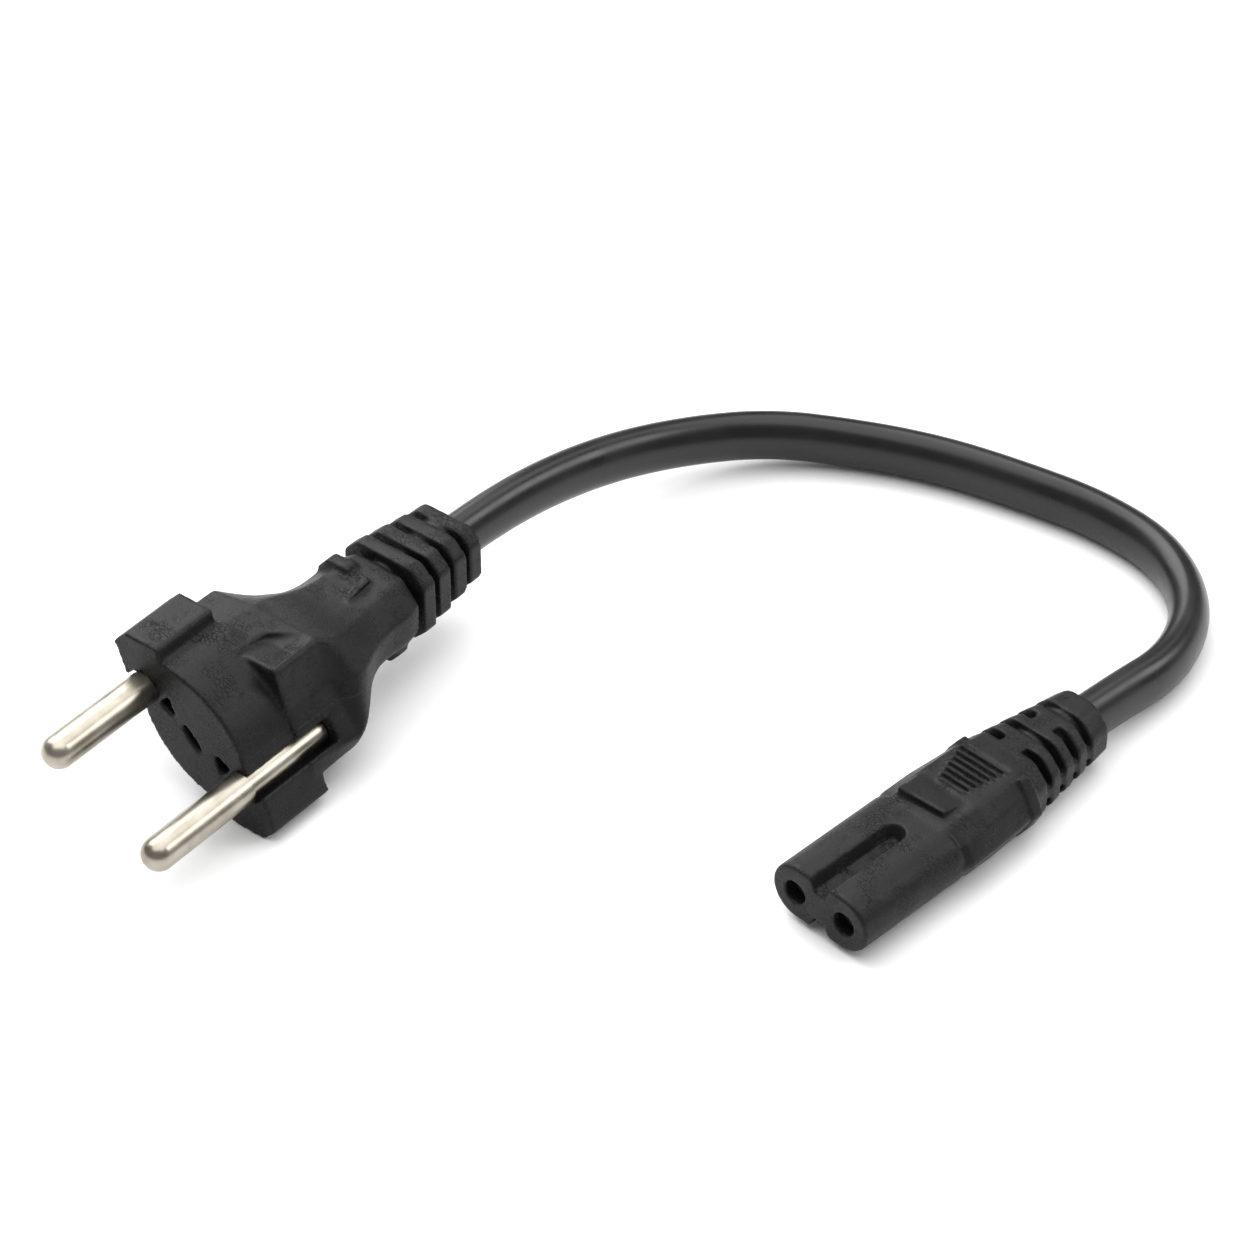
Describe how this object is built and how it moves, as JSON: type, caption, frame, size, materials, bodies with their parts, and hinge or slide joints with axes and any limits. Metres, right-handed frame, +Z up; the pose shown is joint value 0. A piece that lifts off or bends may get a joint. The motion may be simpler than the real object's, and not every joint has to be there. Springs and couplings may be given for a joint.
{
  "type": "power cord",
  "caption": "Short mains power cord with a moulded round-pin plug, a flat twin cable and a figure-8 appliance connector.",
  "frame": {"origin": "on the surface that the cord lies on, under the middle of the box round the plug and the connector", "axes": "+Z up from the surface, +X from the plug towards the connector along their common box, +Y towards the cable's loop"},
  "size_m": [0.1585, 0.1094, 0.0238],
  "materials": {
    "moulding": "satin moulded flexible plastic",
    "hard_plastic": "plain hard plastic",
    "pin_metal": "bright nickel plate",
    "sheath": "smooth satin flexible plastic",
    "brown_core": "plain flexible plastic",
    "blue_core": "plain flexible plastic",
    "copper": "bright drawn copper",
    "contact_metal": "bright rolled spring brass"
  },
  "bodies": {
    "root": {"plug_body": "moulding", "pin_bridge": "hard_plastic", "line_pin": "pin_metal", "neutral_pin": "pin_metal", "cable_sheath": "sheath", "line_insulation": "brown_core", "neutral_insulation": "blue_core", "line_conductor": "copper", "neutral_conductor": "copper", "connector_body": "moulding", "contact_carrier": "hard_plastic", "line_contact": "contact_metal", "neutral_contact": "contact_metal"}
  },
  "joints": []
}
